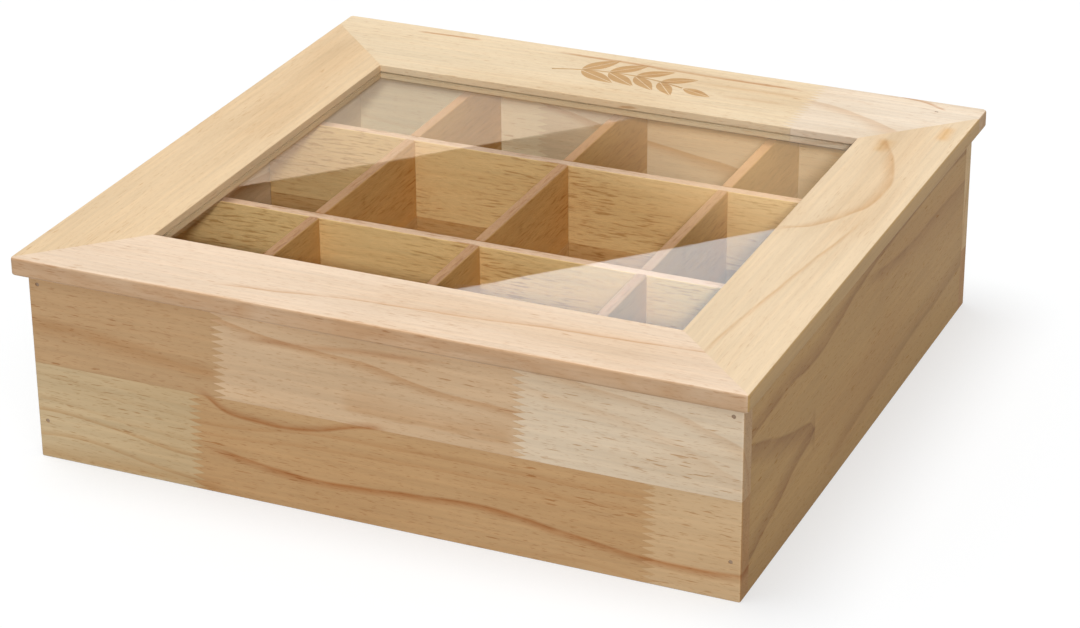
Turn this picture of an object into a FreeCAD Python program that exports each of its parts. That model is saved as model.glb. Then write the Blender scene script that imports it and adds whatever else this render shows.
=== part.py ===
# Wooden tea box: an open-topped box with twelve compartments for tea bags, under a hinged
# lid whose mitred frame holds a clear pane.
#
# Millimetres. X runs along the front, +Y points from the front to the hinges, +Z is up.
# The origin is on the surface that the box stands on, under the middle of the closed lid.

import FreeCAD
import Part
import os

Vector = FreeCAD.Vector

# ---- Driving dimensions ----

# The box: four boards, butted at the corners, with the front and back over the side ends
body_width = 327.0
body_depth = 309.0
body_height = 89.0
board_thickness = 9.0
body_corner_radius = 1.0
body_edge_round = 0.5

# The floor panel, let into a groove all round
panel_thickness = 4.0
panel_lift = 5.0
panel_groove_depth = 4.0
panel_edge_clearance = 0.5
panel_top_clearance = 0.2

# The divider grid, which stands on the floor panel
long_divider_count = 3
cross_divider_count = 2
divider_thickness = 5.0
divider_drop = 3.0
divider_edge_round = 0.6
divider_end_clearance = 0.2
lap_clearance = 0.1

# The lid frame: four mitred rails, the back one wider than the others
lid_side_overhang = 4.0
lid_front_overhang = 7.0
lid_back_overhang = 9.0
lid_thickness = 8.5
lid_gap = 0.3
rail_width = 45.0
back_rail_width = 58.0
lid_corner_radius = 2.0
lid_edge_round = 1.2
window_edge_round = 0.5

# The pane, held in a groove in the rails
pane_thickness = 2.0
pane_cover = 3.5
pane_groove_depth = 7.0
pane_edge_clearance = 1.0
pane_top_clearance = 0.3

# Two butt hinges, let into the top edge of the back board
hinge_spacing = 190.0
hinge_length = 30.0
hinge_axis_setback = 1.0
knuckle_radius = 1.6
knuckle_clearance = 0.3
middle_knuckle_length = 10.4
hinge_pin_radius = 0.8
hinge_pin_fit = 0.05
hinge_pin_proud = 0.3
leaf_thickness = 1.0
leaf_corner_radius = 1.2
mortise_shoulder = 1.0
mortise_clearance = 0.2

# Countersunk screws in the hinge leaves
screw_spacing = 18.0
screw_edge_distance = 3.6
screw_head_radius = 1.7
screw_shank_radius = 0.85
body_screw_length = 9.0
lid_screw_length = 5.5
screw_point_length = 1.5
screw_slot_width = 0.45
screw_slot_depth = 0.35
screw_clearance = 0.03

# Finishing nails through the front and back boards into the ends of the side boards
nail_head_radius = 0.9
nail_head_length = 1.2
nail_shank_radius = 0.65
nail_length = 28.0
nail_point_length = 2.0
nail_set = 0.3
nail_top_distance = 5.5
nail_base_distance = 18.0
nail_clearance = 0.03

# ---- Places that follow from them ----

lid_width = body_width + 2 * lid_side_overhang
lid_depth = body_depth + lid_front_overhang + lid_back_overhang
lid_left = -lid_width / 2
lid_right = lid_width / 2
lid_front = -lid_depth / 2
lid_back = lid_depth / 2
lid_base = body_height + lid_gap
lid_top = lid_base + lid_thickness

body_left = -body_width / 2
body_right = body_width / 2
body_front = lid_front + lid_front_overhang
body_back = lid_back - lid_back_overhang
inner_left = body_left + board_thickness
inner_right = body_right - board_thickness
inner_front = body_front + board_thickness
inner_back = body_back - board_thickness

floor_top = panel_lift + panel_thickness
divider_top = body_height - divider_drop
divider_lap = (floor_top + divider_top) / 2

window_left = lid_left + rail_width
window_right = lid_right - rail_width
window_front = lid_front + rail_width
window_back = lid_back - back_rail_width
blunt_mitre = lid_back - (back_rail_width - rail_width)

pane_groove_height = pane_thickness + pane_top_clearance
pane_groove_base = lid_top - pane_cover - pane_groove_height

leaf_seat = knuckle_radius + knuckle_clearance
hinge_axis_y = body_back + hinge_axis_setback
hinge_axis_z = lid_base - leaf_seat
mortise_front = inner_back + mortise_shoulder
leaf_front = mortise_front + mortise_clearance
screw_y = leaf_front + screw_edge_distance

# Pieces are cut or split by blocks that run this far past them
beyond = 10.0

# Edges within this distance of a plane count as lying on it
tolerance = 0.01


# ---- Helpers ----

def block(x0, x1, y0, y1, z0, z1):
    """A box between two corners."""
    return Part.makeBox(x1 - x0, y1 - y0, z1 - z0, Vector(x0, y0, z0))


def prism(points, z0, z1):
    """A flat outline in XY, drawn as corner points, raised from z0 to z1."""
    corners = [Vector(x, y, z0) for x, y in points]
    outline = Part.makePolygon(corners + corners[:1])
    return Part.Face(outline).extrude(Vector(0, 0, z1 - z0))


def is_upright(edge):
    box = edge.BoundBox
    return box.ZLength > max(box.XLength, box.YLength)


def lies_at(edge, z):
    box = edge.BoundBox
    return abs(box.ZMin - z) < tolerance and abs(box.ZMax - z) < tolerance


def rounded_block(x0, x1, y0, y1, z0, z1, corner_radius, edge_round):
    """A box with its upright edges rounded first, then the rims of its two flat faces."""
    solid = block(x0, x1, y0, y1, z0, z1)
    solid = solid.makeFillet(corner_radius, [e for e in solid.Edges if is_upright(e)])
    rims = [e for e in solid.Edges if lies_at(e, z0) or lies_at(e, z1)]
    return solid.makeFillet(edge_round, rims)


def cylinder(radius, length, start, direction):
    return Part.makeCylinder(radius, length, start, direction)


def evenly_spaced(start, end, count, thickness):
    """Middles of count dividers that leave equal spaces between start and end."""
    space = (end - start - count * thickness) / (count + 1)
    return [start + (i + 1) * space + (i + 0.5) * thickness for i in range(count)]


# ---- Fasteners, and the holes that take them ----

def nail(x, z, face_y, inward, clearance=0.0):
    """A finishing nail driven along Y from a board's face; with a clearance, its hole."""
    direction = Vector(0, inward, 0)
    head_start = Vector(x, face_y + inward * nail_set, z)
    shank_length = nail_length - nail_head_length - nail_point_length
    head = cylinder(nail_head_radius + clearance, nail_head_length, head_start, direction)
    shank_start = head_start + direction * nail_head_length
    shank_radius = nail_shank_radius + clearance
    shank = cylinder(shank_radius, shank_length, shank_start, direction)
    point_start = shank_start + direction * shank_length
    point = Part.makeCone(shank_radius, 0.0, nail_point_length, point_start, direction)
    solid = head.fuse(shank).fuse(point).removeSplitter()
    if clearance:
        way_in = cylinder(nail_head_radius + clearance, nail_set + beyond,
                          head_start - direction * (nail_set + beyond), direction)
        solid = solid.fuse(way_in).removeSplitter()
    return solid


def screw(x, y, seat_z, inward, length, clearance=0.0):
    """A countersunk screw along Z, its head flush at seat_z; with a clearance, its hole."""
    direction = Vector(0, 0, inward)
    start = Vector(x, y, seat_z)
    head_length = leaf_thickness
    shank_radius = screw_shank_radius + clearance
    shank_length = length - head_length - screw_point_length
    head = Part.makeCone(screw_head_radius + clearance, shank_radius, head_length, start, direction)
    shank_start = start + direction * head_length
    shank = cylinder(shank_radius, shank_length, shank_start, direction)
    point_start = shank_start + direction * shank_length
    point = Part.makeCone(shank_radius, 0.0, screw_point_length, point_start, direction)
    solid = head.fuse(shank).fuse(point).removeSplitter()
    if clearance:
        return solid
    slot_end = seat_z + inward * screw_slot_depth
    slot = block(x - screw_slot_width / 2, x + screw_slot_width / 2,
                 y - screw_head_radius, y + screw_head_radius,
                 min(seat_z, slot_end), max(seat_z, slot_end))
    return solid.cut(slot)


def nail_places():
    """Where each nail goes: x across the side board's end, and its height."""
    inset = board_thickness / 2
    heights = (body_height - nail_top_distance, nail_base_distance)
    return [(x, z) for x in (body_left + inset, body_right - inset) for z in heights]


def nails(clearance=0.0):
    """All nails as a dictionary of names and solids, or their holes."""
    solids = {}
    for number, (x, z) in enumerate(nail_places(), start=1):
        solids["nail_front_%d" % number] = nail(x, z, body_front, 1, clearance)
        solids["nail_back_%d" % number] = nail(x, z, body_back, -1, clearance)
    return solids


hinge_places = {"left": -hinge_spacing / 2, "right": hinge_spacing / 2}
body_screw_seat = hinge_axis_z - leaf_seat + leaf_thickness
lid_screw_seat = hinge_axis_z + leaf_seat - leaf_thickness


def body_screws(clearance=0.0):
    """Screws that hold the lower hinge leaves on the back board, or their holes."""
    solids = {}
    for side, x in hinge_places.items():
        for number, offset in enumerate((-screw_spacing / 2, screw_spacing / 2), start=1):
            name = "hinge_%s_body_screw_%d" % (side, number)
            solids[name] = screw(x + offset, screw_y, body_screw_seat, -1,
                                 body_screw_length, clearance)
    return solids


def lid_screws(clearance=0.0):
    """Screws that hold the upper hinge leaves under the lid, or their holes."""
    solids = {}
    for side, x in hinge_places.items():
        for number, offset in enumerate((-screw_spacing / 2, screw_spacing / 2), start=1):
            name = "hinge_%s_lid_screw_%d" % (side, number)
            solids[name] = screw(x + offset, screw_y, lid_screw_seat, 1,
                                 lid_screw_length, clearance)
    return solids


# ---- The box ----

def hinge_mortise(x):
    """The recess in the back board's top edge for one hinge, open to the back."""
    half = hinge_length / 2 + hinge_pin_proud + mortise_clearance
    return block(x - half, x + half, mortise_front, body_back + beyond,
                 hinge_axis_z - leaf_seat, body_height + beyond)


def boards():
    """Front, back, left and right boards, split from one rounded ring."""
    ring = rounded_block(body_left, body_right, body_front, body_back, 0, body_height,
                         body_corner_radius, body_edge_round)
    ring = ring.cut(block(inner_left, inner_right, inner_front, inner_back,
                          -beyond, body_height + beyond))
    groove = block(inner_left - panel_groove_depth, inner_right + panel_groove_depth,
                   inner_front - panel_groove_depth, inner_back + panel_groove_depth,
                   panel_lift, floor_top + panel_top_clearance)
    holes = list(nails(nail_clearance).values()) + list(body_screws(screw_clearance).values())
    cuts = [groove] + [hinge_mortise(x) for x in hinge_places.values()] + holes
    ring = ring.cut(Part.makeCompound(cuts))
    low = -beyond
    high = body_height + beyond
    outer_left = body_left - beyond
    outer_right = body_right + beyond
    splits = {
        "front_board": block(outer_left, outer_right, body_front - beyond, inner_front, low, high),
        "back_board": block(outer_left, outer_right, inner_back, body_back + beyond, low, high),
        "left_board": block(outer_left, inner_left, inner_front, inner_back, low, high),
        "right_board": block(inner_right, outer_right, inner_front, inner_back, low, high),
    }
    return {name: ring.common(split) for name, split in splits.items()}


def bottom_panel():
    """The floor, with its edges in the boards' grooves."""
    reach = panel_groove_depth - panel_edge_clearance
    return block(inner_left - reach, inner_right + reach, inner_front - reach,
                 inner_back + reach, panel_lift, floor_top)


def long_divider(x):
    """A divider from front to back, slotted from its top for the cross dividers."""
    y0 = inner_front + divider_end_clearance
    y1 = inner_back - divider_end_clearance
    half = divider_thickness / 2
    solid = block(x - half, x + half, y0, y1, floor_top, divider_top)
    rims = [e for e in solid.Edges if lies_at(e, divider_top) and e.Length > divider_thickness]
    solid = solid.makeFillet(divider_edge_round, rims)
    slot = half + lap_clearance
    for y in cross_divider_places():
        solid = solid.cut(block(x - beyond, x + beyond, y - slot, y + slot,
                                divider_lap, divider_top + beyond))
    return solid


def cross_divider(y):
    """A divider from side to side, slotted from its underside for the long dividers."""
    x0 = inner_left + divider_end_clearance
    x1 = inner_right - divider_end_clearance
    half = divider_thickness / 2
    solid = block(x0, x1, y - half, y + half, floor_top, divider_top)
    rims = [e for e in solid.Edges if lies_at(e, divider_top) and e.Length > divider_thickness]
    solid = solid.makeFillet(divider_edge_round, rims)
    slot = half + lap_clearance
    for x in long_divider_places():
        solid = solid.cut(block(x - slot, x + slot, y - beyond, y + beyond,
                                floor_top - beyond, divider_lap))
    return solid


def long_divider_places():
    return evenly_spaced(inner_left, inner_right, long_divider_count, divider_thickness)


def cross_divider_places():
    return evenly_spaced(inner_front, inner_back, cross_divider_count, divider_thickness)


# ---- The lid ----

def lid_frame():
    """The whole frame before it is split: rounded slab, window, pane groove, screw holes."""
    frame = rounded_block(lid_left, lid_right, lid_front, lid_back, lid_base, lid_top,
                          lid_corner_radius, lid_edge_round)
    frame = frame.cut(block(window_left, window_right, window_front, window_back,
                            lid_base - beyond, lid_top + beyond))
    rims = [e for e in frame.Edges if is_window_rim(e)]
    frame = frame.makeFillet(window_edge_round, rims)
    groove = block(window_left - pane_groove_depth, window_right + pane_groove_depth,
                   window_front - pane_groove_depth, window_back + pane_groove_depth,
                   pane_groove_base, pane_groove_base + pane_groove_height)
    holes = Part.makeCompound([groove] + list(lid_screws(screw_clearance).values()))
    return frame.cut(holes)


def is_window_rim(edge):
    """True for the window's edges on the frame's top and underside."""
    box = edge.BoundBox
    inside_x = box.XMin > window_left - tolerance and box.XMax < window_right + tolerance
    inside_y = box.YMin > window_front - tolerance and box.YMax < window_back + tolerance
    return inside_x and inside_y and (lies_at(edge, lid_base) or lies_at(edge, lid_top))


def lid_rails():
    """Four rails, split along the mitres; the back rail's ends are blunt past the mitre."""
    left = lid_left - beyond
    right = lid_right + beyond
    front = lid_front - beyond
    back = lid_back + beyond
    outlines = {
        "lid_rail_front": [(left, front), (right, front), (window_right, window_front),
                           (window_left, window_front)],
        "lid_rail_back": [(window_left, window_back), (window_right, window_back),
                          (lid_right, blunt_mitre), (right, blunt_mitre), (right, back),
                          (left, back), (left, blunt_mitre), (lid_left, blunt_mitre)],
        "lid_rail_left": [(left, front), (window_left, window_front), (window_left, window_back),
                          (lid_left, blunt_mitre), (left, blunt_mitre)],
        "lid_rail_right": [(right, front), (right, blunt_mitre), (lid_right, blunt_mitre),
                           (window_right, window_back), (window_right, window_front)],
    }
    frame = lid_frame()
    return {name: frame.common(prism(points, lid_base - beyond, lid_top + beyond))
            for name, points in outlines.items()}


def pane():
    """The clear pane, resting on the groove's lower lip."""
    reach = pane_groove_depth - pane_edge_clearance
    return block(window_left - reach, window_right + reach, window_front - reach,
                 window_back + reach, pane_groove_base, pane_groove_base + pane_thickness)


# ---- Hinges ----

def hinge_leaf(x, upward, knuckles, holes):
    """A stamped leaf: a flat plate on one side of the axis, rolled into its knuckles.

    upward is 1 for the leaf under the lid and -1 for the one on the back board; knuckles
    lists the stretches along X, from the hinge's middle, that carry this leaf's barrel.
    """
    outer = hinge_axis_z + upward * leaf_seat
    inner = outer - upward * leaf_thickness
    low = min(outer, inner)
    high = max(outer, inner)
    half = hinge_length / 2
    plate_back = hinge_axis_y - leaf_seat
    plate = block(x - half, x + half, leaf_front, plate_back, low, high)
    corners = [e for e in plate.Edges if is_upright(e) and e.BoundBox.YMax < leaf_front + tolerance]
    leaf = plate.makeFillet(leaf_corner_radius, corners)
    for start, end in knuckles:
        tab = block(x + start, x + end, plate_back, hinge_axis_y, low, high)
        barrel = cylinder(knuckle_radius, end - start,
                          Vector(x + start, hinge_axis_y, hinge_axis_z), Vector(1, 0, 0))
        leaf = leaf.fuse(tab).fuse(barrel)
    bore = cylinder(hinge_pin_radius + hinge_pin_fit, hinge_length + 2 * beyond,
                    Vector(x - half - beyond, hinge_axis_y, hinge_axis_z), Vector(1, 0, 0))
    leaf = leaf.cut(bore)
    return leaf.cut(Part.makeCompound(list(holes.values()))).removeSplitter()


def hinge_pin(x):
    """The pin, with rounded ends that stand a little proud of the barrel."""
    length = hinge_length + 2 * hinge_pin_proud
    pin = cylinder(hinge_pin_radius, length,
                   Vector(x - length / 2, hinge_axis_y, hinge_axis_z), Vector(1, 0, 0))
    rims = [e for e in pin.Edges if e.BoundBox.XLength < tolerance]
    return pin.makeFillet(hinge_pin_proud, rims)


def hinges():
    half = hinge_length / 2
    middle = middle_knuckle_length / 2
    outer_knuckles = [(-half, -middle - knuckle_clearance), (middle + knuckle_clearance, half)]
    middle_knuckle = [(-middle, middle)]
    solids = {}
    for side, x in hinge_places.items():
        name = "hinge_%s_" % side
        solids[name + "body_leaf"] = hinge_leaf(x, -1, outer_knuckles, body_screws(screw_clearance))
        solids[name + "lid_leaf"] = hinge_leaf(x, 1, middle_knuckle, lid_screws(screw_clearance))
        solids[name + "pin"] = hinge_pin(x)
    return solids


# ---- All pieces, one file each ----

pieces = {}
pieces.update(boards())
pieces["bottom_panel"] = bottom_panel()
for number, place in enumerate(long_divider_places(), start=1):
    pieces["long_divider_%d" % number] = long_divider(place)
for number, place in enumerate(cross_divider_places(), start=1):
    pieces["cross_divider_%d" % number] = cross_divider(place)
pieces.update(lid_rails())
pieces["pane"] = pane()
pieces.update(hinges())
pieces.update(body_screws())
pieces.update(lid_screws())
pieces.update(nails())

os.makedirs("parts", exist_ok=True)
for name, shape in pieces.items():
    if len(shape.Solids) != 1 or not shape.isValid():
        raise ValueError("%s is not one valid solid" % name)
    shape.Solids[0].exportStep("parts/%s.step" % name)
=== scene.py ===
import math
import bpy
from mathutils import Matrix, Vector


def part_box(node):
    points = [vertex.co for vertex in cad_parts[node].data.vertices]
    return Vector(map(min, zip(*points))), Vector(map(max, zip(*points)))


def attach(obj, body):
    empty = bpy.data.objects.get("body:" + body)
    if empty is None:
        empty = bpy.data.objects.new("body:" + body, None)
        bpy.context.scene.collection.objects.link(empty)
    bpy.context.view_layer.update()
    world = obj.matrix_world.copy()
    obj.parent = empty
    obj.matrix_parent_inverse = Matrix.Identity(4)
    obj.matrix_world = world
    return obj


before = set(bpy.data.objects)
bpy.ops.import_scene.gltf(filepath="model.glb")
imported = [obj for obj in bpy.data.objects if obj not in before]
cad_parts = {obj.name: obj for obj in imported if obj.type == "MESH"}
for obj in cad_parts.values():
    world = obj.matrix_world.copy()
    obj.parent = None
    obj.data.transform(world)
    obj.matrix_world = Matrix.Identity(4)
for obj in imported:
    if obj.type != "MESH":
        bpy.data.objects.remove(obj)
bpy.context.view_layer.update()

# ---- The view: a long lens looks down on the box from beyond its front right corner.
# Lengths in metres, in the box's own frame; turns in degrees.
view_aim = Vector((0.0228, -0.0340, 0.0500))
view_distance = 1.4242
view_turn = 23.726
view_height = 25.352
view_roll = -0.356
lens_length = 107.04
film_width = 36.0

camera = bpy.data.objects.new("camera", bpy.data.cameras.new("camera"))
bpy.context.scene.collection.objects.link(camera)
camera.data.lens = lens_length
camera.data.sensor_width = film_width
camera.matrix_world = (
    Matrix.Translation(view_aim)
    @ Matrix.Rotation(math.radians(view_turn), 4, "Z")
    @ Matrix.Rotation(math.radians(90 - view_height), 4, "X")
    @ Matrix.Rotation(math.radians(view_roll), 4, "Z")
    @ Matrix.Translation((0, 0, view_distance))
)
bpy.context.scene.camera = camera
bpy.context.scene.view_settings.view_transform = "Standard"


# ---- The studio: a white table top in an even white room, with a broad lamp above at the left, a soft one at
# the right and a small one beside the lens, to light the inside. Three cards hang behind the box, where only
# gloss and the pane mirror them: the pale ones veil the pane, and the dark one leaves a clear band.
table_radius = 6.0
table_sides = 64
white = (1, 1, 1)
table_bounce = (0.38, 0.38, 0.38)
shadow_depth = 0.50
shadow_tint = (0.965, 0.985, 1.0)
room_light = 0.42
lamps = {
    # name: (light, spread, turn from the front towards the left, height, whether gloss mirrors it)
    "top_lamp": (1.31, 30.0, 90.0, 78.0, True),
    "right_lamp": (0.40, 30.0, -40.0, 42.0, True),
    "low_lamp": (1.10, 5.0, -23.0, 25.0, False),
}
card_lift = 0.90
card_length = 0.60
card_turn = 47.5
cards = {
    # name: (glow at the near left and at the far right, and the two edges as they lie on the pane,
    # from its middle towards the near right); the glow changes from change_start to change_end
    "far_card": ((1.12, 0.92, 0.70), (1.12, 0.92, 0.70), -0.30, -0.054),
    "dark_card": ((0, 0, 0), (1.30, 0.90, 0.50), -0.054, 0.088),
    "near_card": ((1.36, 1.50, 1.58), (1.36, 1.50, 1.58), 0.088, 0.30),
}
change_start = 0.02
change_end = 0.11


def new_material(name):
    """An empty node material with its output node."""
    material = bpy.data.materials.new(name)
    material.use_nodes = True
    material.node_tree.nodes.clear()
    return material, material.node_tree, material.node_tree.nodes.new("ShaderNodeOutputMaterial")


def feed(tree, socket, value):
    """Links another node's output to an input, or sets the input to a plain value."""
    if isinstance(value, bpy.types.NodeSocket):
        tree.links.new(value, socket)
    elif socket.type == "RGBA" and len(value) == 3:
        socket.default_value = (*value, 1)
    else:
        socket.default_value = value


def calculate(tree, operation, *values, clamp=False):
    """One Math node."""
    node = tree.nodes.new("ShaderNodeMath")
    node.operation, node.use_clamp = operation, clamp
    for socket, value in zip(node.inputs, values):
        feed(tree, socket, value)
    return node.outputs[0]


def seen_rays(tree):
    """1 for rays that show the room straight, through glass or in gloss, and 0 for the light it casts."""
    path = tree.nodes.new("ShaderNodeLightPath").outputs
    clear = calculate(tree, "ADD", path["Is Camera Ray"], path["Is Transmission Ray"])
    return calculate(tree, "ADD", clear, path["Is Glossy Ray"], clamp=True)


def blend_shaders(tree, share, first, second):
    """A Mix Shader."""
    node = tree.nodes.new("ShaderNodeMixShader")
    for socket, value in zip(node.inputs, (share, first, second)):
        feed(tree, socket, value)
    return node.outputs[0]


def flat_mesh(name, corners):
    """One flat face through the corners."""
    mesh = bpy.data.meshes.new(name)
    mesh.from_pydata(corners, [], [tuple(range(len(corners)))])
    stand = bpy.data.objects.new(name, mesh)
    bpy.context.scene.collection.objects.link(stand)
    return stand


def new_node(tree, kind, settings=None, **inputs):
    """A node with its settings and inputs; an input's name has underscores for spaces."""
    node = tree.nodes.new(kind)
    for name, value in (settings or {}).items():
        setattr(node, name, value)
    for name, value in inputs.items():
        feed(tree, node.inputs[name.replace("_", " ")], value)
    return node


def vectors(tree, operation, first, second):
    """One Vector Math node; Scale takes a number second."""
    node = tree.nodes.new("ShaderNodeVectorMath")
    node.operation = operation
    feed(tree, node.inputs[0], first)
    feed(tree, node.inputs["Scale" if operation == "SCALE" else 1], second)
    return node.outputs["Value" if operation == "DOT_PRODUCT" else "Vector"]


def smooth_step(tree, value, low, high):
    """Rises from 0 to 1 between low and high."""
    node = new_node(tree, "ShaderNodeMapRange", {"interpolation_type": "SMOOTHSTEP"}, Value=value)
    feed(tree, node.inputs["From Min"], low)
    feed(tree, node.inputs["From Max"], high)
    return node.outputs["Result"]


def mix_colours(tree, share, first, second, way="MIX"):
    """A Mix node for colours."""
    node = new_node(tree, "ShaderNodeMix", {"data_type": "RGBA", "blend_type": way})
    feed(tree, node.inputs[0], share)
    feed(tree, node.inputs[6], first)
    feed(tree, node.inputs[7], second)
    return node.outputs[2]


table = flat_mesh("table_top", [
    (table_radius * math.cos(math.tau * i / table_sides),
     table_radius * math.sin(math.tau * i / table_sides), 0)
    for i in range(table_sides)
])
material, tree, output = new_material("white_table")
glow = new_node(tree, "ShaderNodeEmission", Color=white).outputs[0]
shaded = new_node(tree, "ShaderNodeBsdfDiffuse", Color=shadow_tint).outputs[0]
shown = blend_shaders(tree, shadow_depth, glow, shaded)
matt = new_node(tree, "ShaderNodeBsdfDiffuse", Color=table_bounce).outputs[0]
tree.links.new(blend_shaders(tree, seen_rays(tree), matt, shown), output.inputs["Surface"])
table.data.materials.append(material)

room = bpy.data.worlds.new("room")
room.use_nodes = True
bpy.context.scene.world = room
tree = room.node_tree
background = tree.nodes["Background"].inputs
feed(tree, background["Color"], white)
feed(tree, background["Strength"], calculate(
    tree, "MULTIPLY_ADD", seen_rays(tree), 1 - room_light, room_light))

for name, (light, spread, turn, height, mirrored) in lamps.items():
    lamp = bpy.data.objects.new(name, bpy.data.lights.new(name, "SUN"))
    bpy.context.scene.collection.objects.link(lamp)
    lamp.data.energy = light
    lamp.data.angle = math.radians(spread)
    lamp.visible_glossy = mirrored
    lamp.matrix_world = (
        Matrix.Rotation(math.radians(-turn), 4, "Z") @ Matrix.Rotation(math.radians(90 - height), 4, "X")
    )

# A card's outline on the pane, as the lens sees it there, is thrown out from the mirrored lens.
pane_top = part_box("pane")[1].z
eye = camera.matrix_world.translation
mirrored_eye = Vector((eye.x, eye.y, 2 * pane_top - eye.z))
along_card = Vector((math.cos(math.radians(card_turn)), math.sin(math.radians(card_turn)), 0))
across_card = Vector((along_card.y, -along_card.x, 0))
throw = 1 + card_lift / (pane_top - mirrored_eye.z)
on_card = throw * change_start + (1 - throw) * mirrored_eye.dot(along_card)
change_length = throw * (change_end - change_start)
for name, (left_glow, right_glow, near_edge, far_edge) in cards.items():
    corners = []
    for side, end in ((near_edge, -1), (near_edge, 1), (far_edge, 1), (far_edge, -1)):
        on_pane = across_card * side + along_card * end * card_length / 2
        on_pane.z = pane_top
        corners.append(mirrored_eye + (on_pane - mirrored_eye) * throw)
    card = flat_mesh(name, corners)
    material, tree, output = new_material(name)
    reach = vectors(tree, "DOT_PRODUCT", tree.nodes.new("ShaderNodeTexCoord").outputs["Object"], along_card)
    share = smooth_step(tree, reach, on_card, on_card + change_length)
    face = new_node(tree, "ShaderNodeEmission", Color=mix_colours(tree, share, left_glow, right_glow))
    tree.links.new(face.outputs[0], output.inputs["Surface"])
    card.data.materials.append(material)
    card.visible_camera = card.visible_diffuse = card.visible_shadow = False


# ---- The box: four boards of rubberwood, nailed at the corners, under a satin clear coat.
# Each board is glued up edge to edge from staves, and the staves are finger-jointed end to end.
finger_length = 0.0062
finger_pitch = 0.0033
glue_width = 0.00035
glue_shade = 0.30
ring_spacing = 0.0065
line_wander = 0.004
grain_depth = 0.0002
coat_weight = 0.02
coat_roughness = 0.30
cloud_tint = (0.93, 0.89, 0.84)
ring_tint = (0.80, 0.62, 0.46)
fleck_tint = (0.66, 0.52, 0.38)
pore_tint = (0.76, 0.62, 0.50)
glue_tint = (0.70, 0.55, 0.42)
end_grain = (0.64, 0.52, 0.40)


def noise(tree, place, stretch, detail=2.0, roughness=0.5):
    """Noise of about 0 to 1, stretched along the grain; stretch is in features per metre."""
    scaled = vectors(tree, "MULTIPLY", place, stretch)
    return new_node(tree, "ShaderNodeTexNoise", Vector=scaled, Scale=1.0, Detail=detail,
                    Roughness=roughness).outputs[0]


def mix_values(tree, share, first, second):
    """A Mix node for plain numbers."""
    node = new_node(tree, "ShaderNodeMix", {"data_type": "FLOAT"})
    for socket, value in zip((node.inputs[0], node.inputs[2], node.inputs[3]), (share, first, second)):
        feed(tree, socket, value)
    return node.outputs[0]


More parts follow.
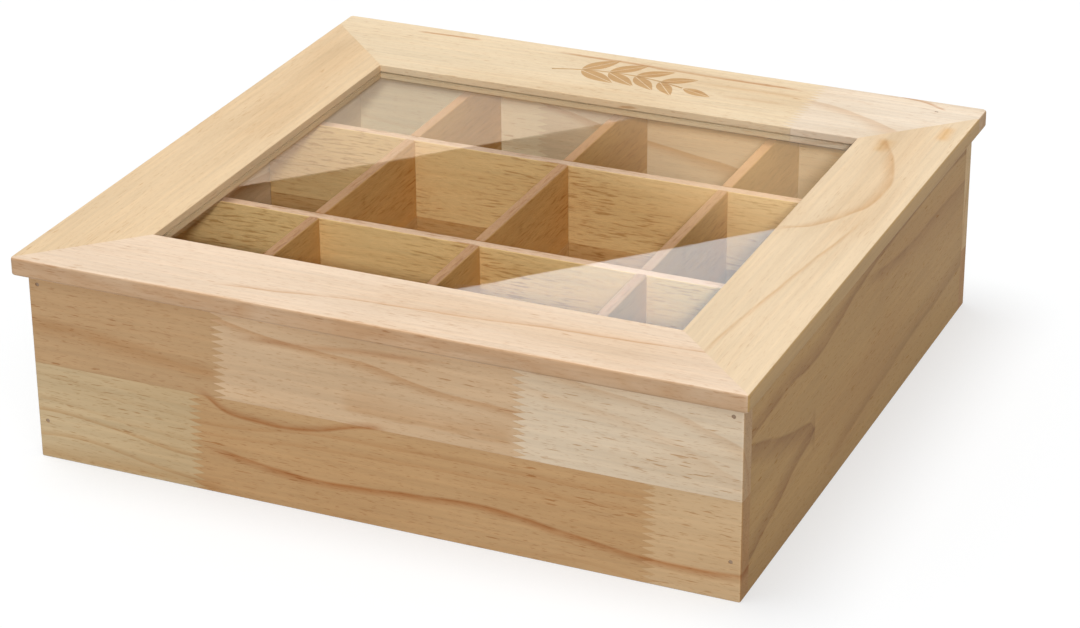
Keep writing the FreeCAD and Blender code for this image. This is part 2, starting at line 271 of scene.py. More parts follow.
def rubberwood_group():
    """Solid rubberwood with its grain along X: fibres, pores, growth lines and slow changes of tone."""
    group = bpy.data.node_groups.new("rubberwood", "ShaderNodeTree")
    for name, kind in (("Place", "Vector"), ("Stave", "Float"), ("Tone", "Color"), ("Figure", "Float"),
                       ("Pores", "Float"), ("Flecks", "Float")):
        group.interface.new_socket(name=name, in_out="INPUT", socket_type="NodeSocket" + kind)
    for name, kind in (("Colour", "Color"), ("Open", "Float"), ("Height", "Float")):
        group.interface.new_socket(name=name, in_out="OUTPUT", socket_type="NodeSocket" + kind)
    given = group.nodes.new("NodeGroupInput").outputs
    chance = new_node(group, "ShaderNodeTexWhiteNoise", {"noise_dimensions": "1D"}, W=given["Stave"])
    place = vectors(group, "ADD", given["Place"], vectors(group, "SCALE", chance.outputs["Color"], 7.0))
    fibre = noise(group, place, (14, 420, 420), 4.0, 0.6)
    streak = noise(group, place, (7, 90, 90), 3.0)
    cloud = noise(group, place, (9, 26, 26), 2.0)

    # Growth rings stand round a heart that runs a little askew of each stave.
    own = new_node(group, "ShaderNodeSeparateXYZ", Vector=given["Place"]).outputs
    odds = new_node(group, "ShaderNodeSeparateXYZ", Vector=chance.outputs["Color"]).outputs
    wander = calculate(group, "SUBTRACT", noise(group, place, (6, 11, 11), 2.0), 0.5)
    aside = calculate(group, "MULTIPLY_ADD", odds[0], 0.11, -0.03)
    aside = calculate(group, "SUBTRACT", own[1], aside)
    aside = calculate(group, "MULTIPLY_ADD", wander, 0.045, aside)
    tilt = calculate(group, "MULTIPLY", calculate(group, "SUBTRACT", odds[2], 0.5), own[0])
    deep = calculate(group, "MULTIPLY_ADD", odds[1], 0.05, own[2])
    deep = calculate(group, "MULTIPLY_ADD", tilt, 0.30, deep)
    radius = calculate(group, "SQRT", calculate(
        group, "ADD", calculate(group, "MULTIPLY", aside, aside), calculate(group, "MULTIPLY", deep, deep)))
    rings = calculate(group, "MULTIPLY_ADD", streak, 0.35, calculate(group, "DIVIDE", radius, ring_spacing))
    ring = calculate(group, "FRACT", rings)
    year = calculate(group, "MULTIPLY_ADD", given["Stave"], 17.3, calculate(group, "FLOOR", rings))
    luck = new_node(group, "ShaderNodeTexWhiteNoise", {"noise_dimensions": "1D"}, W=year).outputs["Value"]
    line = calculate(group, "MULTIPLY", smooth_step(group, ring, 0.45, 0.93), calculate(
        group, "SUBTRACT", 1.0, smooth_step(group, ring, 0.93, 1.0)))
    line = calculate(group, "MULTIPLY", line, calculate(group, "POWER", luck, 3.0))
    line = calculate(group, "MULTIPLY", line, given["Figure"])

    # Pores are open vessels, cut lengthwise on a face and across at an end.
    pore = smooth_step(group, noise(group, place, (230, 2100, 2100), 1.0), 0.60, 0.72)
    vessel = smooth_step(group, noise(group, place, (110, 1150, 1150), 1.0), 0.63, 0.74)
    patchy = smooth_step(group, noise(group, place, (16, 60, 60), 2.0), 0.38, 0.68)
    vessel = calculate(group, "MULTIPLY", vessel, patchy)
    pores = calculate(group, "MULTIPLY_ADD", pore, 0.5, vessel, clamp=True)
    pores = calculate(group, "MULTIPLY", pores, given["Pores"])
    fleck = smooth_step(group, noise(group, place, (105, 950, 950), 2.0, 0.5), 0.53, 0.68)
    fleck = calculate(group, "MULTIPLY", calculate(group, "MULTIPLY", fleck, given["Flecks"]), smooth_step(
        group, noise(group, place, (25, 45, 45), 2.0), 0.30, 0.62))

    shade = calculate(group, "MULTIPLY_ADD", fibre, 0.34, 0.83)
    shade = calculate(group, "MULTIPLY_ADD", streak, 0.22, calculate(group, "SUBTRACT", shade, 0.11))
    colour = vectors(group, "SCALE", given["Tone"], shade)
    for share, tint in ((smooth_step(group, cloud, 0.35, 0.70), cloud_tint), (line, ring_tint),
                        (fleck, fleck_tint), (pores, pore_tint)):
        colour = mix_colours(group, share, colour, tint, "MULTIPLY")
    result = group.nodes.new("NodeGroupOutput").inputs
    group.links.new(colour, result["Colour"])
    group.links.new(pores, result["Open"])
    height = calculate(group, "MULTIPLY_ADD", pores, -1.0, calculate(group, "MULTIPLY", fibre, 0.35))
    group.links.new(height, result["Height"])
    return group


rubberwood = rubberwood_group()


def measure(tree, node, directions):
    """How far a point lies along, across and into a board, from the corner that the directions start at,
    and how much it is on an end, on the upper face and on a long edge."""
    low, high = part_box(node)
    spread = new_node(tree, "ShaderNodeTexCoord")
    parts = new_node(tree, "ShaderNodeSeparateXYZ", Vector=spread.outputs["Object"]).outputs
    lengths = []
    for direction in directions:
        axis = "XYZ".index(direction[1])
        if direction[0] == "+":
            lengths.append(calculate(tree, "SUBTRACT", parts[axis], low[axis]))
        else:
            lengths.append(calculate(tree, "SUBTRACT", high[axis], parts[axis]))
    facing = new_node(tree, "ShaderNodeSeparateXYZ", Vector=spread.outputs["Normal"]).outputs
    end_face, long_edge = [calculate(tree, "ABSOLUTE", facing["XYZ".index(way[1])]) for way in directions[:2]]
    return lengths, [smooth_step(tree, face, 0.6, 0.8) for face in (end_face, facing[2], long_edge)]


def lay_staves(tree, along, across, rows):
    """Glues a board up from rows of finger-jointed staves. A row is its far edge across the board, its joints
    along it, and a tone for each stave. Returns the tone, the stave's number and how near a glue line is."""
    tooth = calculate(tree, "DIVIDE", calculate(tree, "PINGPONG", across, finger_pitch / 2), finger_pitch / 2)
    zigzag = calculate(tree, "MULTIPLY_ADD", tooth, finger_length, -finger_length / 2)
    tone = number = gap = above = None
    for count, (edge, joints, tones) in enumerate(rows):
        row_tone, row_number, row_gap = tones[0], 10.0 * count + 1, 1.0
        for joint, next_tone in zip(joints, tones[1:]):
            beyond = calculate(tree, "SUBTRACT", calculate(tree, "SUBTRACT", along, joint), zigzag)
            past = calculate(tree, "GREATER_THAN", beyond, 0.0)
            row_tone = mix_colours(tree, past, row_tone, next_tone)
            row_number = calculate(tree, "ADD", past, row_number)
            row_gap = calculate(tree, "MINIMUM", calculate(tree, "ABSOLUTE", beyond), row_gap)
        if above is None:
            tone, number, gap = row_tone, row_number, row_gap
        else:
            below = calculate(tree, "SUBTRACT", across, above)
            in_row = calculate(tree, "GREATER_THAN", below, 0.0)
            tone = mix_colours(tree, in_row, tone, row_tone)
            number = mix_values(tree, in_row, number, row_number)
            gap = mix_values(tree, in_row, gap, row_gap)
            gap = calculate(tree, "MINIMUM", calculate(tree, "ABSOLUTE", below), gap)
        above = edge
    seam = calculate(tree, "SUBTRACT", 1.0, smooth_step(tree, gap, 0.0, glue_width))
    return tone, number, seam


def growth_line(tree, along, across, length, width, points, soft, sharp):
    """A dark growth line along a curve through the points, given as shares of the board's length and width.
    It fades softly on one side over soft metres, and on the other over sharp metres."""
    curve = new_node(tree, "ShaderNodeFloatCurve", Value=calculate(tree, "DIVIDE", along, length))
    path = curve.mapping.curves[0].points
    while len(path) < len(points):
        path.new(0.5, 0.5)
    for point, (x, y) in zip(path, points):
        point.location = (x, y)
    curve.mapping.update()
    off = calculate(tree, "SUBTRACT", across, calculate(tree, "MULTIPLY", curve.outputs[0], width))
    near_soft = calculate(tree, "SUBTRACT", 1.0, calculate(tree, "DIVIDE", off, soft))
    near_sharp = calculate(tree, "ADD", 1.0, calculate(tree, "DIVIDE", off, sharp))
    return calculate(tree, "MAXIMUM", calculate(tree, "MINIMUM", near_soft, near_sharp), 0.0)


def between(tree, value, low, high, fade):
    """1 between low and high, fading out over fade at both ends."""
    rise = smooth_step(tree, value, low, low + fade)
    return calculate(tree, "MULTIPLY", rise, calculate(tree, "SUBTRACT", 1.0, smooth_step(
        tree, value, high - fade, high)))


def board_material(name, node, directions, rows, figure=1.0, pores=1.0, flecks=0.10, lines=(), gloss=0.42,
                   sheen=0.06, top_tint=(1, 1, 1), painted_side_shade=(1, 1, 1)):
    """The finish of one board, from its node, its directions and its rows of staves. Each growth line is
    (points, soft, sharp, start, end, fade, strength, tint); start, end and fade are shares of its length."""
    material, tree, output = new_material(name)
    (along, across, through), (end_face, top_face, long_edge) = measure(tree, node, directions)
    low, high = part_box(node)
    size = high - low
    length, width = size["XYZ".index(directions[0][1])], size["XYZ".index(directions[1][1])]
    tone, number, seam = lay_staves(tree, along, across, rows)
    place = new_node(tree, "ShaderNodeCombineXYZ", X=along, Y=across, Z=through).outputs[0]
    wood = tree.nodes.new("ShaderNodeGroup")
    wood.node_tree = rubberwood
    for socket, value in (("Place", place), ("Stave", number), ("Tone", tone), ("Figure", figure),
                          ("Pores", pores), ("Flecks", flecks)):
        feed(tree, wood.inputs[socket], value)
    colour = wood.outputs["Colour"]
    wave = calculate(tree, "SUBTRACT", noise(tree, place, (22, 40, 40), 2.0), 0.5)
    waved = calculate(tree, "MULTIPLY_ADD", wave, line_wander, across)
    for points, soft, sharp, start, end, fade, strength, tint in lines:
        line = growth_line(tree, along, waved, length, width, points, soft, sharp)
        reach = between(tree, along, start * length, end * length, fade * length)
        uneven = calculate(tree, "MULTIPLY", noise(tree, place, (60, 240, 240), 3.0), 1.9, clamp=True)
        line = calculate(tree, "MULTIPLY", calculate(tree, "MULTIPLY", line, reach), uneven)
        colour = mix_colours(tree, calculate(tree, "MULTIPLY", line, strength), colour, tint, "MULTIPLY")
    # Some boards' top and side tints carry painted light: painted shade on the lid rails' sides, a painted
    # reflection on the dividers' top edges, and the right board's top lifted out of its painted shade.
    for share, tint in ((calculate(tree, "MULTIPLY", seam, glue_shade), glue_tint), (end_face, end_grain),
                        (top_face, top_tint), (long_edge, painted_side_shade)):
        colour = mix_colours(tree, share, colour, tint, "MULTIPLY")
    shader = new_node(tree, "ShaderNodeBsdfPrincipled", Base_Color=colour, Coat_Weight=coat_weight,
                      Coat_Roughness=coat_roughness, Specular_IOR_Level=sheen)
    rough = calculate(tree, "MULTIPLY_ADD", wood.outputs["Open"], 0.25, gloss)
    feed(tree, shader.inputs["Roughness"], calculate(tree, "MULTIPLY_ADD", end_face, 0.15, rough))
    height = calculate(tree, "MULTIPLY_ADD", seam, -0.6, wood.outputs["Height"])
    bump = new_node(tree, "ShaderNodeBump", Height=height, Strength=0.35, Distance=grain_depth)
    tree.links.new(bump.outputs[0], shader.inputs["Normal"])
    tree.links.new(shader.outputs[0], output.inputs["Surface"])
    return material


def finish(node, material):
    """Gives a piece of the frame its finish."""
    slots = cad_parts[node].data.materials
    slots.clear()
    slots.append(material)


tan = (0.60, 0.385, 0.205)
pink = (0.74, 0.53, 0.335)
pale = (0.81, 0.655, 0.475)
straw = (0.65, 0.49, 0.29)
orange = (0.615, 0.39, 0.198)
honey = (0.69, 0.48, 0.275)
# chalk_painted_light and bone_painted_light: pale wood tones made lighter still, as painted light on the
# inner faces of the left and back boards, which the lid's rails shade
chalk_painted_light = (0.98, 0.86, 0.62)
bone_painted_light = (0.90, 0.75, 0.54)
# umber_painted_shade: the right board's tone, darker and browner than the wood's own colour, as painted shade
# on the box's right side
umber_painted_shade = (0.452, 0.263, 0.088)
brown_line = (0.70, 0.46, 0.30)
grey_line = (0.70, 0.60, 0.50)
faint_line = (0.86, 0.74, 0.62)
# left_top_darker: the left board's top face, a little darker and warmer than its sides
left_top_darker = (0.90, 0.86, 0.80)
# top_free_of_painted_shade: makes the right board's top face lighter and bluer, so the painted shade stays on
# its sides
top_free_of_painted_shade = (1.24, 1.32, 1.55)

finish("front_board", board_material(
    "front_board_wood", "front_board", ("+X", "-Z", "+Y"),
    [(0.043, (0.0915, 0.230), (tan, pink, pale)), (0.089, (0.079, 0.287), (straw, orange, honey))],
    figure=0.6, pores=1.2, lines=[
        (((0, 0.46), (0.24, 0.47), (0.30, 0.56), (0.40, 0.56), (0.50, 0.48), (1, 0.45)),
         0.0012, 0.0030, 0.235, 0.53, 0.04, 0.9, brown_line),
        (((0, 0.75), (0.25, 0.76), (0.35, 0.80), (0.40, 0.82), (0.63, 0.78), (0.75, 0.81), (0.87, 0.87),
          (1, 0.86)),
         0.0035, 0.0012, 0.245, 1.10, 0.05, 0.9, brown_line),
        (((0, 0.03), (0.30, 0.13), (0.55, 0.08), (0.80, 0.02), (1, 0.02)),
         0.0025, 0.0020, 0.28, 0.62, 0.08, 0.5, brown_line),
        (((0, 0.41), (1, 0.41)), 0.0015, 0.0110, 0.45, 0.70, 0.02, 0.7, faint_line),
        (((0, 0.98), (1, 0.98)), 0.0020, 0.0060, -0.1, 0.29, 0.03, 0.8, faint_line),
        (((0, 0.27), (0.15, 0.31), (0.29, 0.36), (1, 0.40)),
         0.0060, 0.0050, -0.1, 0.29, 0.03, 0.8, faint_line),
    ]))
# The right board carries painted shade: its tone is darker and browner than the other boards.
finish("right_board", board_material(
    "right_board_wood", "right_board", ("+Y", "-Z", "-X"),
    [(0.089, (), (umber_painted_shade,))], figure=0.35, top_tint=top_free_of_painted_shade, lines=[
        (((0, 0.25), (0.03, 0.28), (0.11, 0.38), (0.21, 0.48), (0.255, 0.53), (0.27, 0.58), (1, 0.58)),
         0.0110, 0.0012, -0.1, 0.275, 0.006, 1.0, grey_line),
        (((0, 0.83), (0.03, 0.81), (0.11, 0.73), (0.21, 0.64), (0.255, 0.61), (0.27, 0.58), (1, 0.58)),
         0.0012, 0.0110, -0.1, 0.275, 0.006, 1.0, grey_line),
        (((0, 0.21), (0.14, 0.18), (0.28, 0.20), (0.38, 0.15), (0.45, 0.11), (0.60, 0.07), (1, 0.07)),
         0.0012, 0.0090, -0.1, 1.1, 0.05, 1.0, grey_line),
        (((0, 0.10), (0.50, 0.13), (0.60, 0.18), (0.70, 0.22), (0.95, 0.24), (1, 0.25)),
         0.0060, 0.0014, 0.48, 1.1, 0.08, 0.8, grey_line),
        (((0, 0.90), (0.33, 0.87), (0.60, 0.80), (1, 0.73)), 0.0014, 0.0070, 0.30, 1.1, 0.10, 0.6, grey_line),
    ]))
# The left board is drawn in the palest tones, as painted light for the shade that the lid's left rail casts
# inside.
finish("left_board", board_material(
    "left_board_wood", "left_board", ("+Y", "-Z", "+X"),
    [(0.050, (0.120,), (chalk_painted_light, pale)), (0.089, (0.205,), (pale, chalk_painted_light))], top_tint=left_top_darker))
# The back board's pale staves carry painted light on the inner face under the lid's back rail.
finish("back_board", board_material(
    "back_board_wood", "back_board", ("+X", "-Z", "-Y"),
    [(0.058, (0.110, 0.262), (chalk_painted_light, bone_painted_light, chalk_painted_light)), (0.089, (0.060, 0.190), (bone_painted_light, orange, pink))]))


# ---- The floor panel: one sheet of thin plywood, slid into a groove round the four sides.
# Its face is a single peeled veneer, so it has no joints, and it only shows inside and from below.
veneer = (0.93, 0.78, 0.56)
finish("bottom_panel", board_material(
    "bottom_panel_wood", "bottom_panel", ("+X", "+Y", "-Z"), [(0.400, (), (veneer,))], figure=0.8))


# ---- The dividers: thin boards halved over each other where they cross, dropped in from above.
# Each is drawn as a golden stave over a browner one, with a glue line between and fine dark pores; the
# browner lower band is painted shadow, as if cast by a low light from the front.
# near_golden_painted_light and near_amber_painted_light_and_shadow: the near cross divider's tones, made
# lighter as painted light for the shade that the lid's front rail casts on it
near_golden_painted_light = (1.0, 0.70, 0.33)
near_amber_painted_light_and_shadow = (0.87, 0.53, 0.21)
golden = (0.88, 0.63, 0.31)
# amber_painted_shadow_band: the lower stave's browner tone, painted shadow below the glue line
amber_painted_shadow_band = (0.70, 0.45, 0.20)
# russet_painted_shade: the long dividers' upper stave, partly its own russet tone and partly painted shade on
# their faces
russet_painted_shade = (0.69, 0.40, 0.145)
# top_edge_painted_reflection: tints the dividers' top edges cooler and bluer, as a painted reflection of the
# pale room
top_edge_painted_reflection = (0.85, 0.81, 1.16)
# glue_and_shadow_line: depth of the glue line, which is also the top of the painted shadow band
glue_and_shadow_line = 0.039
divider_base = 0.080
for node, upper, lower in (("cross_divider_1", near_golden_painted_light, near_amber_painted_light_and_shadow),
                           ("cross_divider_2", golden, amber_painted_shadow_band)):
    finish(node, board_material(
        node + "_wood", node, ("+X", "-Z", "+Y"),
        [(glue_and_shadow_line, (), (upper,)), (divider_base, (), (lower,))],
        pores=1.3, flecks=0.8, top_tint=top_edge_painted_reflection))
for node in ("long_divider_1", "long_divider_2", "long_divider_3"):
    finish(node, board_material(
        node + "_wood", node, ("+Y", "-Z", "+X"),
        [(glue_and_shadow_line, (), (russet_painted_shade,)), (divider_base, (), (amber_painted_shadow_band,))], flecks=0.6, top_tint=top_edge_painted_reflection))


# ---- The lid: four rails mitred at the corners round a window, with softly rounded edges.
# The wood is paler than the box; the grain runs along each rail and turns at the mitres.
cream = (0.82, 0.655, 0.44)
rose = (0.84, 0.655, 0.485)
ivory = (0.85, 0.715, 0.56)
peach = (0.79, 0.585, 0.36)
wheat = (0.81, 0.63, 0.42)
# front_rail_side_shade and right_rail_side_shade: painted shade that darkens the side faces of the front and
# right lid rails
front_rail_side_shade = (0.81, 0.74, 0.66)
right_rail_side_shade = (0.61, 0.49, 0.30)
orange_patch = (0.95, 0.76, 0.52)
brown_patch = (0.93, 0.80, 0.60)
knot = (0.30, 0.16, 0.10)
rising = ((0, 0.92), (0.28, 0.78), (0.46, 0.59), (0.60, 0.52), (0.73, 0.44), (0.92, 0.36), (1, 0.33))
finish("lid_rail_front", board_material(
    "front_rail_wood", "lid_rail_front", ("+X", "-Y", "-Z"), [(0.050, (), (rose,))],
    figure=0.4, pores=0.9, flecks=0.15, painted_side_shade=front_rail_side_shade, lines=[
        (rising, 0.0009, 0.0040, 0.26, 1.0, 0.06, 0.6, faint_line),
        (rising, 0.0007, 0.0010, 0.26, 1.0, 0.06, 0.8, faint_line),
        (((0, 1.00), (1, 1.00)), 0.0010, 0.0010, -0.1, 1.1, 0.02, 0.8, faint_line),
    ]))
finish("lid_rail_left", board_material(
    "left_rail_wood", "lid_rail_left", ("+Y", "-X", "-Z"), [(0.050, (), (peach,))], figure=0.3, pores=0.7))
finish("lid_rail_back", board_material(
    "back_rail_wood", "lid_rail_back", ("+X", "-Y", "-Z"), [(0.060, (0.255,), (cream, ivory))],
    figure=0.5, lines=[
        (((0, 0.14), (0.22, 0.14), (1, 0.14)), 0.0014, 0.0016, 0.12, 0.235, 0.02, 1.0, brown_line),
        (((0, 0.15), (0.36, 0.15), (0.55, 0.18), (0.74, 0.21), (1, 0.22)),
         0.0014, 0.0022, 0.34, 0.75, 0.05, 1.0, brown_line),
        (((0, 0.36), (1, 0.36)), 0.0025, 0.0030, 0.58, 0.76, 0.04, 0.7, faint_line),
        (((0, 0.55), (1, 0.55)), 0.0030, 0.0030, 0.62, 0.75, 0.04, 0.6, faint_line),
        (((0, 0.00), (0.86, 0.00), (0.89, 0.02), (0.945, 0.16), (1, 0.30)),
         0.0008, 0.0024, 0.87, 0.95, 0.01, 0.9, brown_line),
        (((0, 0.224), (1, 0.224)), 0.0007, 0.0007, 0.934, 0.940, 0.001, 1.0, knot),
    ]))
finish("lid_rail_right", board_material(
    "right_rail_wood", "lid_rail_right", ("+Y", "-X", "-Z"), [(0.050, (), (wheat,))],
    figure=0.6, pores=0.5, flecks=0.05, painted_side_shade=right_rail_side_shade, lines=[
        (((0, 1.00), (0.48, 0.98), (0.52, 0.73), (0.58, 0.47), (0.67, 0.31), (0.77, 0.44), (0.865, 0.71),
          (1, 1)),
         0.0060, 0.0012, 0.485, 0.88, 0.03, 1.0, faint_line),
        (((0, 0.72), (0.17, 0.62), (0.30, 0.52), (0.42, 0.42), (0.55, 0.30), (1, 0.10)),
         0.0010, 0.0022, 0.0, 0.62, 0.16, 0.9, faint_line),
        (((0, 0.20), (1, 0.20)), 0.0040, 0.0050, 0.885, 0.955, 0.02, 1.0, orange_patch),
        (((0, 0.66), (1, 0.70)), 0.0050, 0.0060, 0.81, 0.875, 0.02, 1.0, brown_patch),
    ]))


# ---- The mark on the lid: a small leafy sprig, scorched into the back rail by a flat stamp.
# It keeps the grain of the rail and is a shade browner, with a bare rib down the middle of each leaf.
# The leaves stand in pairs on a bowed stem, each pair smaller than the last, with one leaf at the tip.
sprig_middle = Vector((-0.0090, 0.1320, 0))
sprig = {
    # input: value, in metres or degrees
    "Stem Length": 0.068,
    "Stem Width": 0.0010,
    "Bow": 0.013,
    "Places": 6,
    "Leaf Length": 0.0235,
    "Leaf Half Width": 0.0045,
    "Rib": 0.0006,
    "Stalk": 0.0013,
    "Lean": 40.0,
    "Shrink": 0.30,
    "Depth": 0.00004,
}
sprig_steps = 24
weld = 0.00001
scorched = (0.60, 0.37, 0.17)


def at_point(tree, x=0.0, y=0.0, z=0.0):
    """Three numbers as one vector."""
    return new_node(tree, "ShaderNodeCombineXYZ", X=x, Y=y, Z=z).outputs[0]


def join(tree, *parts):
    """A Join Geometry node."""
    node = tree.nodes.new("GeometryNodeJoinGeometry")
    for part in parts:
        tree.links.new(part, node.inputs[0])
    return node.outputs[0]


def half_leaf(tree, given, side):
    """Half a blade from its rib to its edge; it swells soon after the stalk and runs out to a point."""
    grid = new_node(tree, "GeometryNodeMeshGrid", Size_X=1.0, Size_Y=1.0, Vertices_X=sprig_steps + 1,
                    Vertices_Y=2)
    spot = tree.nodes.new("GeometryNodeInputPosition").outputs[0]
    spot = new_node(tree, "ShaderNodeSeparateXYZ", Vector=spot)
    run = calculate(tree, "ADD", spot.outputs[0], 0.5, clamp=True)
    swell = calculate(tree, "SINE", calculate(tree, "MULTIPLY", calculate(tree, "POWER", run, 0.8), math.pi))
    reach = calculate(tree, "MULTIPLY", calculate(tree, "MAXIMUM", swell, 0.0), given["Leaf Half Width"])
    out = calculate(tree, "MULTIPLY", calculate(tree, "ADD", spot.outputs[1], 0.5, clamp=True), reach)
    out = calculate(tree, "MULTIPLY_ADD", given["Rib"], 0.5, out)
    ahead = calculate(tree, "MULTIPLY_ADD", run, given["Leaf Length"], given["Stalk"])
    blade = new_node(tree, "GeometryNodeSetPosition", Geometry=grid.outputs["Mesh"],
                     Position=at_point(tree, ahead, calculate(tree, "MULTIPLY", out, side))).outputs[0]
    return new_node(tree, "GeometryNodeFlipFaces", Mesh=blade).outputs[0] if side < 0 else blade


def sprig_tree():
    """The whole mark as one thin, closed skin that lies on the XY plane."""
    tree = bpy.data.node_groups.new("sprig", "GeometryNodeTree")
    for name, value in sprig.items():
        kind = "NodeSocketInt" if isinstance(value, int) else "NodeSocketFloat"
        tree.interface.new_socket(name=name, in_out="INPUT", socket_type=kind)
    tree.interface.new_socket(name="Finish", in_out="INPUT", socket_type="NodeSocketMaterial")
    tree.interface.new_socket(name="Mark", in_out="OUTPUT", socket_type="NodeSocketGeometry")
    given = tree.nodes.new("NodeGroupInput").outputs
    leaf = join(tree, half_leaf(tree, given, 1.0), half_leaf(tree, given, -1.0))

    half = calculate(tree, "MULTIPLY", given["Stem Length"], 0.5)
    stem = new_node(tree, "GeometryNodeCurveQuadraticBezier", Resolution=sprig_steps,
                    Start=at_point(tree, calculate(tree, "MULTIPLY", half, -1.0)),
                    Middle=at_point(tree, 0.0, given["Bow"]), End=at_point(tree, half)).outputs[0]
    edge = calculate(tree, "MULTIPLY", given["Stem Width"], 0.5)
    bar = new_node(tree, "GeometryNodeCurvePrimitiveLine", Start=at_point(tree, calculate(
        tree, "MULTIPLY", edge, -1.0)), End=at_point(tree, edge)).outputs[0]
    upright = new_node(tree, "GeometryNodeSetCurveNormal", {"mode": "Z_UP"}, Curve=stem).outputs[0]
    parts = [new_node(tree, "GeometryNodeCurveToMesh", Curve=upright, Profile_Curve=bar).outputs[0]]

    places = new_node(tree, "GeometryNodeCurveToPoints", Curve=stem, Count=given["Places"]).outputs
    last = calculate(tree, "SUBTRACT", given["Places"], 1.0)
    share = calculate(tree, "DIVIDE", tree.nodes.new("GeometryNodeInputIndex").outputs[0], last)
    paired = calculate(tree, "COMPARE", share, 0.5, 0.49)
    at_tip = calculate(tree, "GREATER_THAN", share, 0.99)
    size = calculate(tree, "SUBTRACT", 1.0, calculate(tree, "MULTIPLY", share, given["Shrink"]))
    onward = new_node(tree, "FunctionNodeAlignRotationToVector", {"axis": "X", "pivot_axis": "Z"},
                      Vector=places["Tangent"]).outputs[0]
    for side, which in ((1.0, paired), (-1.0, paired), (0.0, at_tip)):
        lean = calculate(tree, "MULTIPLY", calculate(tree, "RADIANS", given["Lean"]), side)
        lean = new_node(tree, "FunctionNodeEulerToRotation", Euler=at_point(tree, 0.0, 0.0, lean)).outputs[0]
        turned = new_node(tree, "FunctionNodeRotateRotation", {"rotation_space": "LOCAL"}, Rotation=onward,
                          Rotate_By=lean).outputs[0]
        grown = new_node(tree, "GeometryNodeInstanceOnPoints", Points=places["Points"], Selection=which,
                         Instance=leaf, Rotation=turned, Scale=at_point(tree, size, size, 1.0))
        parts.append(grown.outputs[0])

    flat = new_node(tree, "GeometryNodeRealizeInstances", Geometry=join(tree, *parts)).outputs[0]
    flat = new_node(tree, "GeometryNodeMergeByDistance", Geometry=flat, Distance=weld).outputs[0]
    lift = at_point(tree, 0.0, 0.0, given["Depth"])
    raised = new_node(tree, "GeometryNodeExtrudeMesh", Mesh=flat, Offset=lift, Offset_Scale=1.0,
                      Individual=False).outputs["Mesh"]
    under = new_node(tree, "GeometryNodeFlipFaces", Mesh=flat).outputs[0]
    shell = join(tree, raised, under)
    shell = new_node(tree, "GeometryNodeMergeByDistance", Geometry=shell, Distance=weld).outputs[0]
    shell = new_node(tree, "GeometryNodeRealizeInstances", Geometry=shell).outputs[0]
    painted = new_node(tree, "GeometryNodeSetMaterial", Geometry=shell, Material=given["Finish"]).outputs[0]
    tree.links.new(painted, tree.nodes.new("NodeGroupOutput").inputs[0])
    return tree


def settled(name, tree, values):
    """An object with the mesh a Geometry Nodes tree makes from these values, and no modifier left on it."""
    maker = bpy.data.objects.new(name + "_maker", bpy.data.meshes.new(name + "_maker"))
    bpy.context.scene.collection.objects.link(maker)
    modifier = maker.modifiers.new("made", "NODES")
    modifier.node_group = tree
    for name_of_input, value in values.items():
        modifier[tree.interface.items_tree[name_of_input].identifier] = value
    bpy.context.view_layer.update()
    mesh = bpy.data.meshes.new_from_object(maker.evaluated_get(bpy.context.evaluated_depsgraph_get()))
    bpy.data.objects.remove(maker)
    made = bpy.data.objects.new(name, mesh)
    bpy.context.scene.collection.objects.link(made)
    return made


scorched_wood = board_material("scorched_wood", "lid_rail_back", ("+X", "-Y", "-Z"),
                               [(0.060, (0.255,), (scorched, scorched))], figure=0.5, gloss=0.5)
mark = settled("sprig_mark", sprig_tree(), {**sprig, "Finish": scorched_wood})
mark.data.transform(Matrix.Translation((sprig_middle.x, sprig_middle.y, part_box("lid_rail_back")[1].z)))
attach(mark, "lid")


# ---- The pane: a sheet of clear glass set loose in a groove round the window, with faint wipe marks.
# Light falls through it plainly, and it mirrors the room.
pane_bend = 1.52
pane_tint = (0.985, 0.99, 0.985)
pane_shade = (0.98, 0.99, 0.98)
wipe_spread = (14, 22, 14)
ripple_spread = (30, 30, 30)
ripple_depth = 0.0002
material, tree, output = new_material("clear_pane")
spread = new_node(tree, "ShaderNodeTexCoord").outputs["Object"]
haze = smooth_step(tree, noise(tree, spread, wipe_spread, 4.0, 0.6), 0.45, 0.80)
glass = new_node(tree, "ShaderNodeBsdfPrincipled", Base_Color=pane_tint, IOR=pane_bend,
                 Transmission_Weight=1.0, Roughness=calculate(tree, "MULTIPLY_ADD", haze, 0.012, 0.004))
ripple = new_node(tree, "ShaderNodeBump", Height=noise(tree, spread, ripple_spread, 1.0), Strength=0.015,
                  Distance=ripple_depth)
tree.links.new(ripple.outputs[0], glass.inputs["Normal"])
clear = new_node(tree, "ShaderNodeBsdfTransparent", Color=pane_shade)
path = tree.nodes.new("ShaderNodeLightPath").outputs
lit_through = calculate(tree, "MAXIMUM", path["Is Shadow Ray"], path["Is Diffuse Ray"])
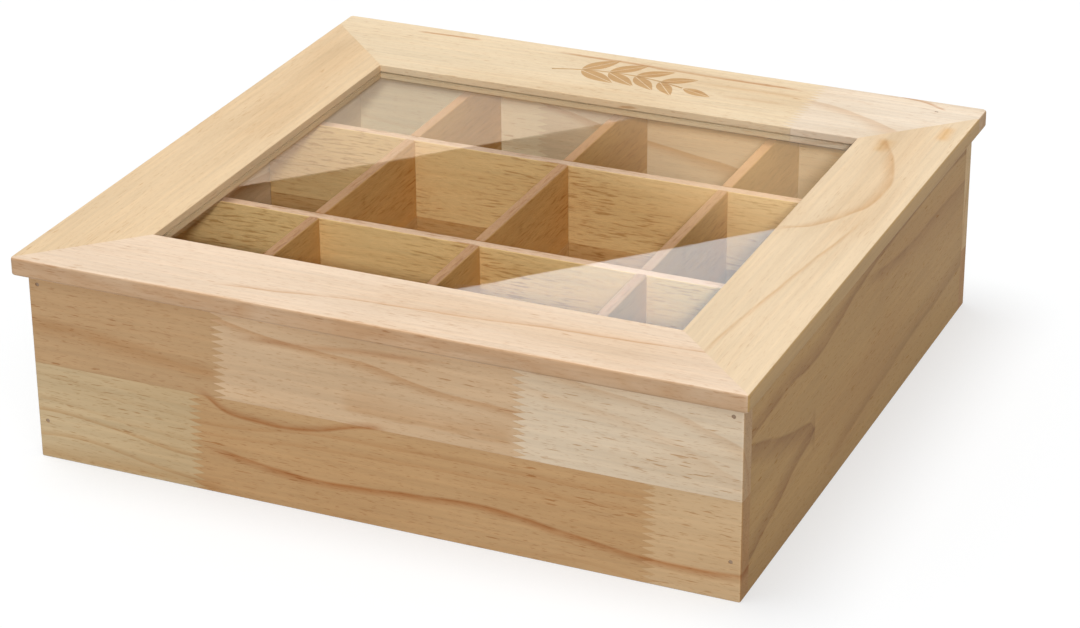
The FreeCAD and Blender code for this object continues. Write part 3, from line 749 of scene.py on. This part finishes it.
tree.links.new(blend_shaders(tree, lit_through, glass.outputs[0], clear.outputs[0]), output.inputs["Surface"])
finish("pane", material)


# ---- The hinges: two small brass butt hinges let into the back edge, each with four screws.
# The leaves are stamped and brushed along their length, and dulled a little by handling.
film_spread = (260, 260, 260)
rubbed = (0.88, 0.87, 0.86)
brush_depth = 0.00005


def metal(name, tone, dull, grain, gloss, bare=1.0):
    """Brushed metal with a dull film; grain is the stretch of its brush marks, bare how metallic it is."""
    material, tree, output = new_material(name)
    spread = new_node(tree, "ShaderNodeTexCoord").outputs["Object"]
    brushed = noise(tree, spread, grain, 3.0)
    film = smooth_step(tree, noise(tree, spread, film_spread, 4.0, 0.6), 0.48, 0.75)
    colour = mix_colours(tree, calculate(tree, "MULTIPLY", film, 0.6), tone, dull)
    colour = mix_colours(tree, brushed, colour, rubbed, "MULTIPLY")
    rough = calculate(tree, "MULTIPLY_ADD", film, 0.20, calculate(tree, "MULTIPLY_ADD", brushed, 0.15, gloss))
    shader = new_node(tree, "ShaderNodeBsdfPrincipled", Base_Color=colour, Metallic=bare, Roughness=rough)
    bump = new_node(tree, "ShaderNodeBump", Height=brushed, Strength=0.25, Distance=brush_depth)
    tree.links.new(bump.outputs[0], shader.inputs["Normal"])
    tree.links.new(shader.outputs[0], output.inputs["Surface"])
    return material


brass = metal("hinge_brass", (0.80, 0.60, 0.28), (0.50, 0.36, 0.18), (300, 6000, 6000), 0.22)
screw_brass = metal("screw_brass", (0.76, 0.56, 0.26), (0.42, 0.30, 0.15), (2500, 2500, 2500), 0.28)
for node in sorted(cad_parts):
    if node.startswith("hinge") and "screw" in node:
        finish(node, screw_brass)
    elif node.startswith("hinge"):
        finish(node, brass)


# ---- The nails: thin steel brads through the front and back boards into the ends of the sides.
# Their small heads are set just under the surface and have darkened.
nail_steel = metal("nail_steel", (0.40, 0.28, 0.19), (0.26, 0.17, 0.11), (3000, 3000, 3000), 0.45, bare=0.3)
for node in sorted(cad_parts):
    if node.startswith("nail"):
        finish(node, nail_steel)
